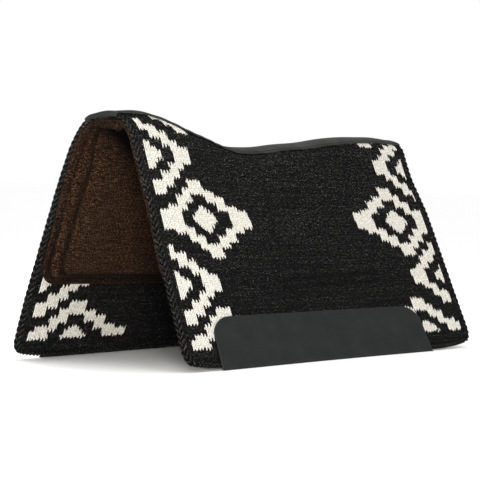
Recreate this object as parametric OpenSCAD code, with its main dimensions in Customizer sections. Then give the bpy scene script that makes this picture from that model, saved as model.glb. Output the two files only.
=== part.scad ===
// Contoured western saddle pad, standing like a tent on its wear leathers.
// +X runs along the spine from the withers (front) to the rear, the rider's left
// (near) side faces -Y, and Z = 0 is the surface that the pad stands on.
//
// Every layer is laid over one panel surface. A place on it is given by
//   u = distance along the spine from the front edge,
//   s = distance up the drop from the bottom edge,
//   t = depth below the outer face (negative stands proud of it).
// The section across the pad is a straight flank that meets a round arch on the spine.

/* [Overall] */
// Length along the spine
pad_length = 813; // [700:1:914]
// Height of the ridge at each place along the spine: [fraction of the length, height]
ridge_heights = [[0, 350], [0.1, 348], [0.25, 324], [0.4, 302], [0.55, 309], [0.8, 326], [1, 333]];
// Half the spread of the feet: [fraction of the length, half spread]
foot_spread = [[0, 151], [0.5, 152], [1, 168]];
// Outer radius of the arch over the spine: [fraction of the length, radius]
arch_radii = [[0, 53], [0.5, 46], [1, 38]];

/* [Blanket] */
// Thickness of the woven blanket
blanket_thick = 9; // [6:0.5:12]
// Diameter of the twined cord along each cut edge
cord_d = 9.6; // [7:0.2:12]
// Height of the blanket's bottom edge above the foot of the wear leather
hem_lift = 4; // [3:0.5:8]
// Extra lift of the bottom edge at the front and rear corners
corner_lift = 8; // [0:1:14]
// Length over which the bottom edge lifts to each corner
corner_run = 110; // [60:5:160]
// Radius of the blanket's bottom corners
blanket_corner_r = 20; // [14:1:40]

/* [Spine] */
// Half the width of the spine strip, measured over the arch
strip_half = 27; // [20:1:34]
// Thickness of the spine strip's leather
strip_thick = 2.5; // [1.5:0.1:4]
// Distance from the edge of the spine strip to its stitching
strip_stitch_in = 4; // [3:0.5:6]
// Half the width of the webbing that joins the blanket halves
webbing_half = 15.5; // [13:0.5:18]
// Half the width of the gap between the blanket halves
blanket_gap = 16; // [15:0.5:20]
// Half the width of the gap between the felt halves
felt_gap = 21; // [19:0.5:26]

/* [Wear leathers] */
// Distance from the front edge to the wear leather
leather_front = 77; // [50:1:120]
// Distance from the rear edge to the wear leather
leather_rear = 139; // [60:1:180]
// Height of the wear leather
leather_high = 75; // [50:1:110]
// Radius of its upper corners
leather_corner_r = 24; // [8:1:36]
// Thickness of the wear leather
leather_thick = 3; // [2:0.1:4]
// Distance from the edge of the wear leather to its stitching
leather_stitch_in = 5; // [3:0.5:9]

/* [Liner] */
// Thickness of the felt base layer
felt_thick = 6; // [4:0.5:10]
// Thickness of the cushion panel
cushion_thick = 7; // [4:0.5:12]
// Thickness of the contact panel
contact_thick = 5; // [3:0.5:7]
// Bottom edge of the felt base, up the drop
felt_low = 115; // [90:1:140]
// Bottom edge of the cushion panel, up the drop
cushion_low = 126; // [110:1:150]
// Bottom edge of the contact panel, up the drop
contact_low = 133; // [120:1:160]
// Inset of each layer from the front and rear edges: base, cushion, contact
liner_insets = [5, 14, 34];
// Radius of each layer's lower corners: base, cushion, contact
liner_corners = [26, 22, 20];

/* [Stitching] */
// Thickness of the sewing thread
thread_d = 1.8; // [1:0.1:2.4]

/* [Hidden] */

clear = 0.6;             // air between pieces that lie on each other
bead_clear = 0.4;        // air between a stitching bead and the surface below it
spine_stations = 34;     // places along the spine where a ridge piece is sampled
wrap_deep = 10;          // depth that the spine strip's ends fold down over the pad's edge
cord_r = cord_d / 2;
cord_depth = blanket_thick / 2;
thread_r = thread_d / 2;
felt_out = blanket_thick + clear;
felt_in = felt_out + felt_thick;
cushion_out = felt_in + clear;
cushion_in = cushion_out + cushion_thick;
contact_out = cushion_in + clear;
contact_in = contact_out + contact_thick;
cushion_below_arch = 4;  // distance that the cushion panel stops below the arch
contact_below_arch = 16; // distance that the contact panel stops below the arch

// Colours of the materials
wool_black = [0.10, 0.10, 0.10];
leather_black = [0.19, 0.21, 0.20];
felt_brown = [0.22, 0.14, 0.10];
thread_dark = [0.07, 0.07, 0.07];

// ---- Smooth curve through a list of [place, value] knots ----
function knot_slope(k, i) =
    let (a = max(i - 1, 0), b = min(i + 1, len(k) - 1)) (k[b][1] - k[a][1]) / (k[b][0] - k[a][0]);
function knot_index(k, f, i = 0) = (i >= len(k) - 2 || f < k[i + 1][0]) ? i : knot_index(k, f, i + 1);
function along(k, f) =
    let (
        i = knot_index(k, f),
        h = k[i + 1][0] - k[i][0],
        q = (f - k[i][0]) / h,
        m0 = knot_slope(k, i) * h,
        m1 = knot_slope(k, i + 1) * h
    )
    k[i][1] * (2 * q ^ 3 - 3 * q ^ 2 + 1) + m0 * (q ^ 3 - 2 * q ^ 2 + q)
    + k[i + 1][1] * (3 * q ^ 2 - 2 * q ^ 3) + m1 * (q ^ 3 - q ^ 2);

// ---- The panel surface ----
function ridge(u) = along(ridge_heights, u / pad_length);
function foot(u) = along(foot_spread, u / pad_length);
function arch_r(u) = along(arch_radii, u / pad_length);
function reach(u) = norm([foot(u), ridge(u) - arch_r(u)]);
// Slope of the flank above the horizontal
function slope(u) = atan2(ridge(u) - arch_r(u), foot(u)) + asin(arch_r(u) / reach(u));
// Length of the straight flank, and of the whole drop up to the ridge line
function flank(u) = sqrt(reach(u) ^ 2 - arch_r(u) ^ 2);
function drop(u) = flank(u) + arch_r(u) * slope(u) * PI / 180;

// A point on the arch, at a distance over the arch from the ridge line (positive on the off side)
function arch_at(u, over, t) =
    let (r = arch_r(u), turn = over / r * 180 / PI)
    [u - pad_length / 2, (r - t) * sin(turn), ridge(u) - r + (r - t) * cos(turn)];
// A point anywhere on the off side
function panel_at(u, s, t) =
    s > flank(u) ? arch_at(u, drop(u) - s, t)
    : [u - pad_length / 2, foot(u) - s * cos(slope(u)) - t * sin(slope(u)), s * sin(slope(u)) - t * cos(slope(u))];
// The height up the drop where depth t meets the ground
function ground_s(u, t) = t / tan(slope(u));

// ---- Outlines ----
// Inset of a rounded corner at distance d from the end
function corner_inset(d, r) = d >= r ? 0 : r - sqrt(r ^ 2 - (r - d) ^ 2);
function end_distance(u, u0, u1) = max(0, min(u - u0, u1 - u));
// Bottom edge of the blanket, which lifts gently towards both corners
function hem_s(u) =
    let (q = 1 - min(1, end_distance(u, 0, pad_length) / corner_run)) hem_lift + corner_lift * q ^ 2;
// Places along u from u0 to u1, with more of them in the first and last stretch of length r
function stations(u0, u1, r, count) =
    concat(
        [for (k = [0 : 4]) u0 + r * (1 - cos(k * 22.5))],
        [for (k = [1 : count - 1]) u0 + r + (u1 - u0 - 2 * r) * k / count],
        [for (k = [4 : -1 : 0]) u1 - r * (1 - cos(k * 22.5))]
    );
// Rows up the drop: 0 to 1 along the flank, 1 to 2 over the arch
flank_rows = [0, 0.12, 0.5, 1];
arch_rows = [1.2, 1.4, 1.6, 1.8, 2];
function row_s(u, row, low, top) =
    let (knee = min(flank(u), top)) row <= 1 ? low + (knee - low) * row : knee + (top - knee) * (row - 1);

// ---- Solid builders ----
// Closed solid between two depths, over a grid of places. at(u, row, t) gives a point.
module shell(us, rows, at, t_out, t_in) {
    n = len(us);
    m = len(rows);
    points = [for (t = [t_out, t_in]) for (u = us) for (v = rows) at(u, v, t)];
    function o(i, j) = i * m + j;
    function b(i, j) = n * m + i * m + j;
    function quad(p, q, r, s) = [[p, q, r], [p, r, s]];
    grid = [for (i = [0 : n - 2]) for (j = [0 : m - 2]) each concat(
        quad(o(i, j), o(i + 1, j), o(i + 1, j + 1), o(i, j + 1)),
        quad(b(i, j), b(i, j + 1), b(i + 1, j + 1), b(i + 1, j))
    )];
    long_walls = [for (i = [0 : n - 2]) each concat(
        quad(o(i, 0), b(i, 0), b(i + 1, 0), o(i + 1, 0)),
        quad(o(i, m - 1), o(i + 1, m - 1), b(i + 1, m - 1), b(i, m - 1))
    )];
    end_walls = [for (j = [0 : m - 2]) each concat(
        quad(o(0, j), o(0, j + 1), b(0, j + 1), b(0, j)),
        quad(o(n - 1, j), b(n - 1, j), b(n - 1, j + 1), o(n - 1, j + 1))
    )];
    polyhedron(points, concat(grid, long_walls, end_walls), convexity = 6);
}

// Round bead or cord along a list of [u, s] places on the off side, at depth t
module bead(route, t, r, sides = 8) {
    at = function (p) panel_at(p[0], p[1], t);
    bead_through([for (p = route) at(p)], [for (p = route) at(p) - panel_at(p[0], p[1], t + 1)], r, sides);
}

// Round bead through a list of points, given a direction out of the surface at each
module bead_through(centres, outs, r, sides) {
    n = len(centres);
    function unit(v) = v / norm(v);
    function heading(i) = unit(centres[min(i + 1, n - 1)] - centres[max(i - 1, 0)]);
    points = [for (i = [0 : n - 1]) for (k = [0 : sides - 1])
        let (side = unit(cross(heading(i), outs[i])), out = cross(side, heading(i)), a = (k + 0.5) * 360 / sides)
        centres[i] + r * (cos(a) * out + sin(a) * side)];
    walls = [for (i = [0 : n - 2]) for (k = [0 : sides - 1])
        let (p = i * sides + k, q = i * sides + (k + 1) % sides)
        each [[p, q + sides, q], [p, p + sides, q + sides]]];
    ends = [[for (k = [0 : sides - 1]) k], [for (k = [sides - 1 : -1 : 0]) (n - 1) * sides + k]];
    polyhedron(points, concat(walls, ends), convexity = 10);
}

// Children as drawn on the off side, or mirrored to the near side
module on_side(side) {
    if (side == "off") children();
    else mirror([0, 1, 0]) children();
}

// ---- Sub-parts ----
// Half of the woven blanket, inside its edge cords
module blanket(side) {
    edge = cord_d + clear;
    us = stations(edge, pad_length - edge, blanket_corner_r - edge, 26);
    low = function (u) hem_s(u) + edge
        + corner_inset(end_distance(u, edge, pad_length - edge), blanket_corner_r - edge);
    at = function (u, v, t) panel_at(u, row_s(u, v, low(u), drop(u) - blanket_gap), t);
    color(wool_black) on_side(side) shell(us, concat(flank_rows, arch_rows), at, 0, blanket_thick);
}

// Cord down the front (end = 0) or rear (end = 1) edge and round the bottom corner
module edge_cord(side, end) {
    u_of = function (d) end == 0 ? d : pad_length - d;
    top = drop(u_of(cord_r)) - strip_half - clear;
    knee = flank(u_of(cord_r));
    turn_r = blanket_corner_r - cord_r;
    base = hem_s(u_of(cord_r)) + cord_r + turn_r;
    route = concat(
        [for (k = [0 : 4]) [u_of(cord_r), top + (knee - top) * k / 4]],
        [for (k = [1 : 4]) [u_of(cord_r), knee + (base - knee) * k / 5]],
        [for (k = [0 : 5]) [
            u_of(cord_r + turn_r * (1 - cos(k * 18))),
            hem_s(u_of(cord_r + turn_r * (1 - cos(k * 18)))) + cord_r + turn_r * (1 - sin(k * 18))
        ]]
    );
    ordered = end == 0 ? route : [for (k = [len(route) - 1 : -1 : 0]) route[k]];
    color(wool_black) on_side(side) bead(ordered, cord_depth, cord_r);
}

// Cord along the bottom edge between the two corners
module bottom_hem(side) {
    u0 = blanket_corner_r + 2 * clear;
    count = 28;
    route = [for (k = [0 : count])
        let (u = u0 + (pad_length - 2 * u0) * k / count) [u, hem_s(u) + cord_r]];
    color(wool_black) on_side(side) bead(route, cord_depth, cord_r);
}

// Strip of material over the ridge line, between two depths
module ridge_band(u0, u1, half, count, t_out, t_in) {
    us = [for (k = [0 : count]) u0 + (u1 - u0) * k / count];
    steps = 8;
    shell(us, [for (k = [0 : steps]) half * (1 - 2 * k / steps)], function (u, v, t) arch_at(u, v, t), t_out, t_in);
}

// Webbing that the two blanket halves are sewn to
module spine_webbing() {
    color(wool_black)
        ridge_band(cord_d, pad_length - cord_d, webbing_half, spine_stations, clear, blanket_thick - clear);
}

// Leather strip over the spine, folded down over the front and rear edges
module spine_strip() {
    color(leather_black) union() {
        ridge_band(0, pad_length, strip_half, spine_stations, -strip_thick - clear, -clear);
        for (u = [0, pad_length - strip_thick])
            ridge_band(u, u + strip_thick, strip_half, 1, -strip_thick / 2 - clear, wrap_deep);
    }
}

// The two rows of stitching along the spine strip
module spine_stitching() {
    over = strip_half - strip_stitch_in;
    t = -strip_thick - clear - bead_clear - thread_r;
    u0 = strip_stitch_in;
    us = [for (k = [0 : spine_stations]) u0 + (pad_length - 2 * u0) * k / spine_stations];
    color(thread_dark) for (row = [-over, over])
        bead_through(
            [for (u = us) arch_at(u, row, t)], [for (u = us) arch_at(u, row, t - 1) - arch_at(u, row, t)],
            thread_r, 6
        );
}

// Height of the top edge of the wear leather, a given distance inside its outline
function leather_top(u, inside) =
    leather_high - inside - corner_inset(
        end_distance(u, leather_front + inside, pad_length - leather_rear - inside), leather_corner_r - inside);

// Wear leather, flat along the ground, with rounded upper corners
module wear_leather(side) {
    u0 = leather_front;
    u1 = pad_length - leather_rear;
    at = function (u, v, t) panel_at(u, ground_s(u, t) + (leather_top(u, 0) - ground_s(u, t)) * v, t);
    color(leather_black) on_side(side)
        shell(stations(u0, u1, leather_corner_r, 16), [0, 0.5, 1], at, -leather_thick - clear, -clear);
}

// Stitching round the three upper edges of the wear leather
module leather_stitching(side) {
    u0 = leather_front + leather_stitch_in;
    u1 = pad_length - leather_rear - leather_stitch_in;
    top = stations(u0, u1, leather_corner_r - leather_stitch_in, 16);
    route = concat([[u0, 3]], [for (u = top) [u, leather_top(u, leather_stitch_in)]], [[u1, 3]]);
    color(thread_dark) on_side(side) bead(route, -leather_thick - clear - bead_clear - thread_r, thread_r, 6);
}

// One layer of the liner, with its lower corners rounded
module liner_layer(side, level, low, top, t_out, t_in, rows) {
    u0 = liner_insets[level];
    u1 = pad_length - u0;
    r = liner_corners[level];
    at = function (u, v, t) panel_at(u, row_s(u, v, low + corner_inset(end_distance(u, u0, u1), r), top(u)), t);
    color(felt_brown) on_side(side) shell(stations(u0, u1, r, 24), rows, at, t_out, t_in);
}

module felt_base(side) {
    top = function (u) drop(u) - felt_gap;
    liner_layer(side, 0, felt_low, top, felt_out, felt_in, concat([0, 0.5, 1], [1.25, 1.5, 1.75, 2]));
}

module cushion_panel(side) {
    top = function (u) flank(u) - cushion_below_arch;
    liner_layer(side, 1, cushion_low, top, cushion_out, cushion_in, [0, 0.5, 1]);
}

module contact_panel(side) {
    top = function (u) flank(u) - contact_below_arch;
    liner_layer(side, 2, contact_low, top, contact_out, contact_in, [0, 0.5, 1]);
}

// Felt arch that closes the liner under the spine
module felt_ridge() {
    color(felt_brown)
        ridge_band(liner_insets[0], pad_length - liner_insets[0], felt_gap - clear, spine_stations,
            felt_out, felt_in);
}

// Stitching round the flange of the felt base
module liner_stitching(side) {
    inside = 4.5;
    u0 = liner_insets[0] + inside;
    u1 = pad_length - u0;
    r = liner_corners[0] - inside;
    high = 290;
    low = stations(u0, u1, r, 16);
    route = concat(
        [[u0, high]],
        [for (u = low) [u, felt_low + inside + corner_inset(end_distance(u, u0, u1), r)]],
        [[u1, high]]
    );
    color(thread_dark) on_side(side) bead(route, felt_in + bead_clear + thread_r, thread_r, 6);
}

blanket("near");  // blanket_near
blanket("off");  // blanket_off
edge_cord("near", 0);  // front_cord_near
edge_cord("off", 0);  // front_cord_off
edge_cord("near", 1);  // rear_cord_near
edge_cord("off", 1);  // rear_cord_off
bottom_hem("near");  // bottom_hem_near
bottom_hem("off");  // bottom_hem_off
spine_webbing();
spine_strip();
spine_stitching();
wear_leather("near");  // wear_leather_near
wear_leather("off");  // wear_leather_off
leather_stitching("near");  // leather_stitching_near
leather_stitching("off");  // leather_stitching_off
felt_base("near");  // felt_base_near
felt_base("off");  // felt_base_off
felt_ridge();
cushion_panel("near");  // cushion_panel_near
cushion_panel("off");  // cushion_panel_off
contact_panel("near");  // contact_panel_near
contact_panel("off");  // contact_panel_off
liner_stitching("near");  // liner_stitching_near
liner_stitching("off");  // liner_stitching_off
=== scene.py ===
"""Looks of the contoured western saddle pad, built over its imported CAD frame.

Every layer is laid over one panel surface, as in the CAD. A place on it is given in mm by
  u = distance along the spine from the front edge,
  s = distance up the drop from the bottom edge,
  t = depth below the outer face (negative stands proud of it).
"""

import math

import bpy
import numpy as np
from mathutils import Matrix, Vector


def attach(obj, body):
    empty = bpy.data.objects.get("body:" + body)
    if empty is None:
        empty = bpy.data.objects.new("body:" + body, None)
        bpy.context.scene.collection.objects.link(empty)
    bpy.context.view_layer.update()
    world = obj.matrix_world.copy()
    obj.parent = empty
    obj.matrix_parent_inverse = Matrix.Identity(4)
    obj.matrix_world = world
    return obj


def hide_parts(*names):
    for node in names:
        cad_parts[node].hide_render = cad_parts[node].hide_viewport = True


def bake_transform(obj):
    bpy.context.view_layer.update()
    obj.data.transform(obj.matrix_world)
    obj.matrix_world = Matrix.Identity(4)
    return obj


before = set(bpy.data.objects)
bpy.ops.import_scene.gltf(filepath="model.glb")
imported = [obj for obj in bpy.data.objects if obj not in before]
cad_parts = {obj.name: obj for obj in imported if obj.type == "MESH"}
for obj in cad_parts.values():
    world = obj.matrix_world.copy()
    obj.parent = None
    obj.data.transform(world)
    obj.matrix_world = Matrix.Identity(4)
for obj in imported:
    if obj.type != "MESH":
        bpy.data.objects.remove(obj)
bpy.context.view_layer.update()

MM = 0.001
NEAR, OFF = -1, 1
SIDES = {"near": NEAR, "off": OFF}

# ---- Sizes shared with the CAD, in mm ----
PAD_LENGTH = 813.0
RIDGE_HEIGHTS = [[0, 350], [0.1, 348], [0.25, 324], [0.4, 302], [0.55, 309], [0.8, 326], [1, 333]]
FOOT_SPREAD = [[0, 151], [0.5, 152], [1, 168]]
ARCH_RADII = [[0, 53], [0.5, 46], [1, 38]]
BLANKET_THICK = 9.0
BLANKET_CORNER_R = 20.0
BLANKET_GAP = 16.0
HEM_LIFT = 4.0
CORNER_LIFT = 8.0
CORNER_RUN = 110.0
STRIP_HALF = 27.0
STRIP_STITCH_IN = 4.0
WEBBING_HALF = 15.5
FELT_GAP = 21.0
LEATHER_FRONT = 77.0
LEATHER_REAR = 139.0
LEATHER_STITCH_IN = 5.0
LINER_INSETS = [5.0, 14.0, 34.0]
LINER_LOWS = [115.0, 126.0, 133.0]
FELT_OUT, FELT_IN = 9.6, 15.6

# ---- Sizes that depart from the CAD's to match the photo more closely, in mm ----
LEATHER_HIGH = 74.0
LEATHER_CORNER = (46.0, 27.0)  # length and height of the wear leather's upper corners
LEATHER_SLANT = 11.0           # how far its rear end slants forward
LINER_CORNERS = [36.0, 22.0, 20.0]     # radii of the liner layers' lower corners
PANEL_BELOW_ARCH = [0.0, -14.0, -4.0]  # how far each layer stops below the arch, or runs on over it
FRONT_SAG = 6.0                # how far the crown has sunk at the front
REAR_SAGS = (2.0, 5.5)         # how far it has sunk at the rear, over a long and over a short stretch
FRONT_THINNING = 2.6           # how much thinner the woven layer is at the top of its front edge
CROWN_PINCH = 5.0              # how far the front edge is pressed in beside the crown on the off side
OFF_BOW = 3.2                  # how far the off side bows out low at the front
REAR_DRAW_IN = 5.5             # how far both sides are drawn in below the crown at the rear

# ---- Sizes of the surface detail, in mm ----
RIB = 4.0            # spacing of the blanket's warp ribs
RIB_DEEP = 0.8       # depth of the grooves between them
WEFT_ROW = 2.7       # spacing of the weft rows
STRAND_PITCH = 17.6  # length of one full turn of the twined edge strands
STRAND_R = 1.75      # radius of one strand
STRAND_TURN_R = 1.35 # radius that the strands turn on
CORD_IN = 3.5        # distance from the cut edge to the middle of its twined cord
STRIP_FACE = -2.3    # depth of the spine strip's outer face
LINER_LEAD = 4.5     # how far the felt liner's ends come forward at the top of the drop
ROLL_WIDE = 21.0     # length along the spine of the roll that ends the felt arch
ROLL_SPAN = (-40.0, 30.0)  # how far it reaches over the ridge, from the near side to the off side
PANEL_RISE = [0.0, 6.8, 6.2]  # how far each liner layer stands off the one below
PANEL_RIM = [0.0, 6.0, 9.0]   # width over which its rim rounds off
RIM_SOFTER = 14.0             # how much wider that is at the top of the drop
PANEL_FADE = 70.0             # distance over which its top fades out
LEATHER_MIDDLE = -2.1         # depth of the middle of the wear leather
LEATHER_HALF = 1.5            # half its thickness
CREASE_DEEP = 0.7             # depth of the storage creases
SWELL_CAP = 1.8               # furthest that the cloth simulation moves a padded panel


# ---- The panel surface ----
def along(knots, f):
    """Smooth curve through [place, value] knots, the same curve as the CAD's."""
    x, v = np.array(knots, float).T
    last = len(x) - 1
    before = np.maximum(np.arange(len(x)) - 1, 0)
    after = np.minimum(np.arange(len(x)) + 1, last)
    slope = (v[after] - v[before]) / (x[after] - x[before])
    i = np.clip(np.searchsorted(x, f, side="right") - 1, 0, last - 1)
    h = x[i + 1] - x[i]
    q = (f - x[i]) / h
    return (
        v[i] * (2 * q**3 - 3 * q**2 + 1) + slope[i] * h * (q**3 - 2 * q**2 + q)
        + v[i + 1] * (3 * q**2 - 2 * q**3) + slope[i + 1] * h * (q**3 - q**2)
    )


def section(u):
    """(ridge height, half spread, arch radius, slope, flank length, whole drop) of the pad's section at u."""
    f = np.asarray(u, float) / PAD_LENGTH
    ridge, foot, r = along(RIDGE_HEIGHTS, f), along(FOOT_SPREAD, f), along(ARCH_RADII, f)
    reach = np.hypot(foot, ridge - r)
    slope = np.arctan2(ridge - r, foot) + np.arcsin(r / reach)
    flank = np.sqrt(reach**2 - r**2)
    return ridge, foot, r, slope, flank, flank + r * slope


def smooth(x):
    x = np.clip(x, 0, 1)
    return x * x * (3 - 2 * x)


def unevenness(u, over, s):
    """How far the standing pad's layers bulge outward together, in mm. It dies out towards the ground."""
    broad = np.sin(u / 57 + 0.9 + over / 90) * np.sin(over / 62 + 0.4 + u / 210)
    fine = np.sin(u / 23 + over / 41 + 2.1) * np.sin(u / 71 - over / 35)
    return (1.1 * broad + 0.4 * fine) * smooth((s - 70) / 90)


def crown_sag(u, over):
    """How far the crown has sunk towards both ends, in mm. At the front the off side has sunk most."""
    from_rear = PAD_LENGTH - u
    front = FRONT_SAG * np.exp(-(u / 75) ** 2 - ((over - 14) / 34) ** 2)
    rear = REAR_SAGS[0] * np.exp(-(from_rear / 190) ** 2) + REAR_SAGS[1] * np.exp(-(from_rear / 48) ** 2)
    return front + rear * np.exp(-(over / 40) ** 2)


def squeeze(u, over, s, t):
    """How far a place is pressed outward, in mm.

    At the front the woven layer thins towards the top of its edge. Beside the crown its outer face is pressed
    in on the off side, and lower down that side bows out. Both are drawn in below the crown at the rear.
    """
    inner = np.clip(t / FELT_OUT, 0, 1)
    at_front = np.exp(-(u / 28) ** 2)
    thinning = FRONT_THINNING * inner * smooth((s - 150) / 130)
    pinch = CROWN_PINCH * np.exp(-((over - 54) / 24) ** 2) * (1 - 0.6 * inner)
    bow = OFF_BOW * np.exp(-(u / 130) ** 2) * smooth(s / 100) * smooth((320 - s) / 80) * (over > 0)
    draw_in = REAR_DRAW_IN * np.exp(-((PAD_LENGTH - u) / 70) ** 2 - ((np.abs(over) - 90) / 48) ** 2)
    return at_front * (thinning - pinch) + bow - draw_in


def panel(side, u, s, t):
    """The point at a place (u, s, t) on one side, in metres in the row frame."""
    u, s, t = np.broadcast_arrays(*(np.asarray(x, float) for x in (u, s, t)))
    ridge, foot, r, slope, flank, drop = section(u)
    over = side * (drop - s)
    t = t - unevenness(u, over, s) - squeeze(u, over, s, t)
    turn = (drop - s) / r
    over_arch = s > flank
    y = np.where(over_arch, (r - t) * np.sin(turn), foot - s * np.cos(slope) - t * np.sin(slope))
    z = np.where(over_arch, ridge - r + (r - t) * np.cos(turn), s * np.sin(slope) - t * np.cos(slope))
    z = z - crown_sag(u, over)
    return np.stack([u - PAD_LENGTH / 2, side * y, z], -1) * MM


def corner_inset(d, r):
    """Inset of a rounded corner at distance d from the end."""
    d = np.clip(d, 0, r)
    return r - np.sqrt(r * r - (r - d) ** 2)


def end_distance(u, u0, u1):
    return np.maximum(0, np.minimum(u - u0, u1 - u))


def hem_s(u):
    """Bottom edge of the blanket, which lifts gently towards both corners."""
    q = 1 - np.minimum(1, end_distance(u, 0, PAD_LENGTH) / CORNER_RUN)
    return HEM_LIFT + CORNER_LIFT * q**2


def spread(a, b, edge, step):
    """Places from a to b about a step apart, closer together within edge of both ends."""
    fine = edge * (1 - np.cos(np.linspace(0, math.pi / 2, 7)))[:-1]
    middle = np.linspace(a + edge, b - edge, max(2, int(round((b - a - 2 * edge) / step)) + 1))
    return np.concatenate([a + fine, middle, (b - fine)[::-1]])


# ---- Mesh building ----
class Pile:
    """Collects closed parts, each a set of points, their flat places and their faces, into one mesh."""

    def __init__(self):
        self.points, self.places, self.faces, self.count = [], [], [], 0

    def add(self, points, places, faces):
        points = points.reshape(-1, 3)
        self.points.append(points)
        self.places.append(np.broadcast_to(places, points.shape[:1] + (3,)) if np.ndim(places) == 1
                           else places.reshape(-1, 3))
        self.faces.extend((np.asarray(f) + self.count).tolist() for f in faces)
        self.count += len(points)

    def piece(self, name, material):
        """The finished object, its faces wound outward, with its flat places kept as an attribute."""
        points, places = np.concatenate(self.points), np.concatenate(self.places)
        volume = 0.0
        for size in (3, 4):
            f = np.array([x for x in self.faces if len(x) == size])
            if len(f):
                for k in range(2, size):
                    a, b, c = points[f[:, 0]], points[f[:, k - 1]], points[f[:, k]]
                    volume += (a * np.cross(b, c)).sum()
        faces = self.faces if volume > 0 else [f[::-1] for f in self.faces]
        mesh = bpy.data.meshes.new(name)
        mesh.from_pydata(points.tolist(), [], faces)
        flat = mesh.attributes.new("flat", "FLOAT_VECTOR", "POINT")
        flat.data.foreach_set("vector", places.astype(np.float32).ravel())
        # Distance from the ridge line, which places the painted shade in the spine channel.
        crown = mesh.attributes.new("crown", "FLOAT", "POINT")
        crown.data.foreach_set("value", (section(places[:, 0])[5] - places[:, 1]).astype(np.float32))
        mesh.polygons.foreach_set("use_smooth", np.ones(len(faces), bool))
        mesh.materials.append(material)
        obj = bpy.data.objects.new(name, mesh)
        bpy.context.scene.collection.objects.link(obj)
        return obj


def grid_faces(index):
    return np.stack([index[:-1, :-1], index[1:, :-1], index[1:, 1:], index[:-1, 1:]], -1).reshape(-1, 4)


def slab(pile, side, outer, inner):
    """Closed slab between two grids of places, each an array (columns, rows, 3)."""
    n, m = outer.shape[:2]
    top = np.arange(n * m).reshape(n, m)
    rim = np.concatenate([top[:-1, 0], top[-1, :-1], top[:0:-1, -1], top[0, :0:-1]])
    after = np.roll(rim, -1)
    faces = [grid_faces(top), grid_faces(top + n * m)[:, ::-1],
             np.stack([after, rim, rim + n * m, after + n * m], -1)]
    places = np.stack([outer, inner])
    points = panel(side, places[..., 0], places[..., 1], places[..., 2])
    pile.add(points, places, np.concatenate(faces))


def tube(pile, centres, outs, radii, places, sides=8, axis=None):
    """Round strand through a row of centres, drawn in to a point at each end.

    Where it twists round an axis, its flat place's t runs from -1, facing the axis, to 1, facing away.
    """
    heading = np.gradient(centres, axis=0)
    heading /= np.linalg.norm(heading, axis=1)[:, None]
    across = np.cross(heading, outs)
    across /= np.linalg.norm(across, axis=1)[:, None]
    up = np.cross(across, heading)
    a = 2 * math.pi * (np.arange(sides) + 0.5) / sides
    ring = np.cos(a)[None, :, None] * up[:, None] + np.sin(a)[None, :, None] * across[:, None]
    points = centres[:, None] + radii[:, None, None] * ring
    n = len(centres)
    index = np.arange(n * sides).reshape(n, sides)
    walls = grid_faces(np.concatenate([index, index[:, :1]], 1))
    spots = np.repeat(places[:, None], sides, 1).astype(float)
    spots[..., 1] += radii[:, None] / MM * a
    if axis is not None:
        away = centres - axis
        away /= np.linalg.norm(away, axis=1)[:, None]
        spots[..., 2] = (ring * away[:, None]).sum(-1)
    pile.add(points, spots, [*walls, index[0], index[-1, ::-1]])


def resampled(route, step):
    """A route of (u, s) places, spaced evenly, with the distance along it and the direction across it."""
    route = np.asarray(route, float)
    far = np.concatenate([[0], np.cumsum(np.linalg.norm(np.diff(route, axis=0), axis=1))])
    run = np.linspace(0, far[-1], max(3, int(round(far[-1] / step)) + 1))
    line = np.stack([np.interp(run, far, route[:, k]) for k in (0, 1)], -1)
    heading = np.gradient(line, axis=0)
    heading /= np.linalg.norm(heading, axis=1)[:, None]
    return line, run, np.stack([-heading[:, 1], heading[:, 0]], -1)


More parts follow.
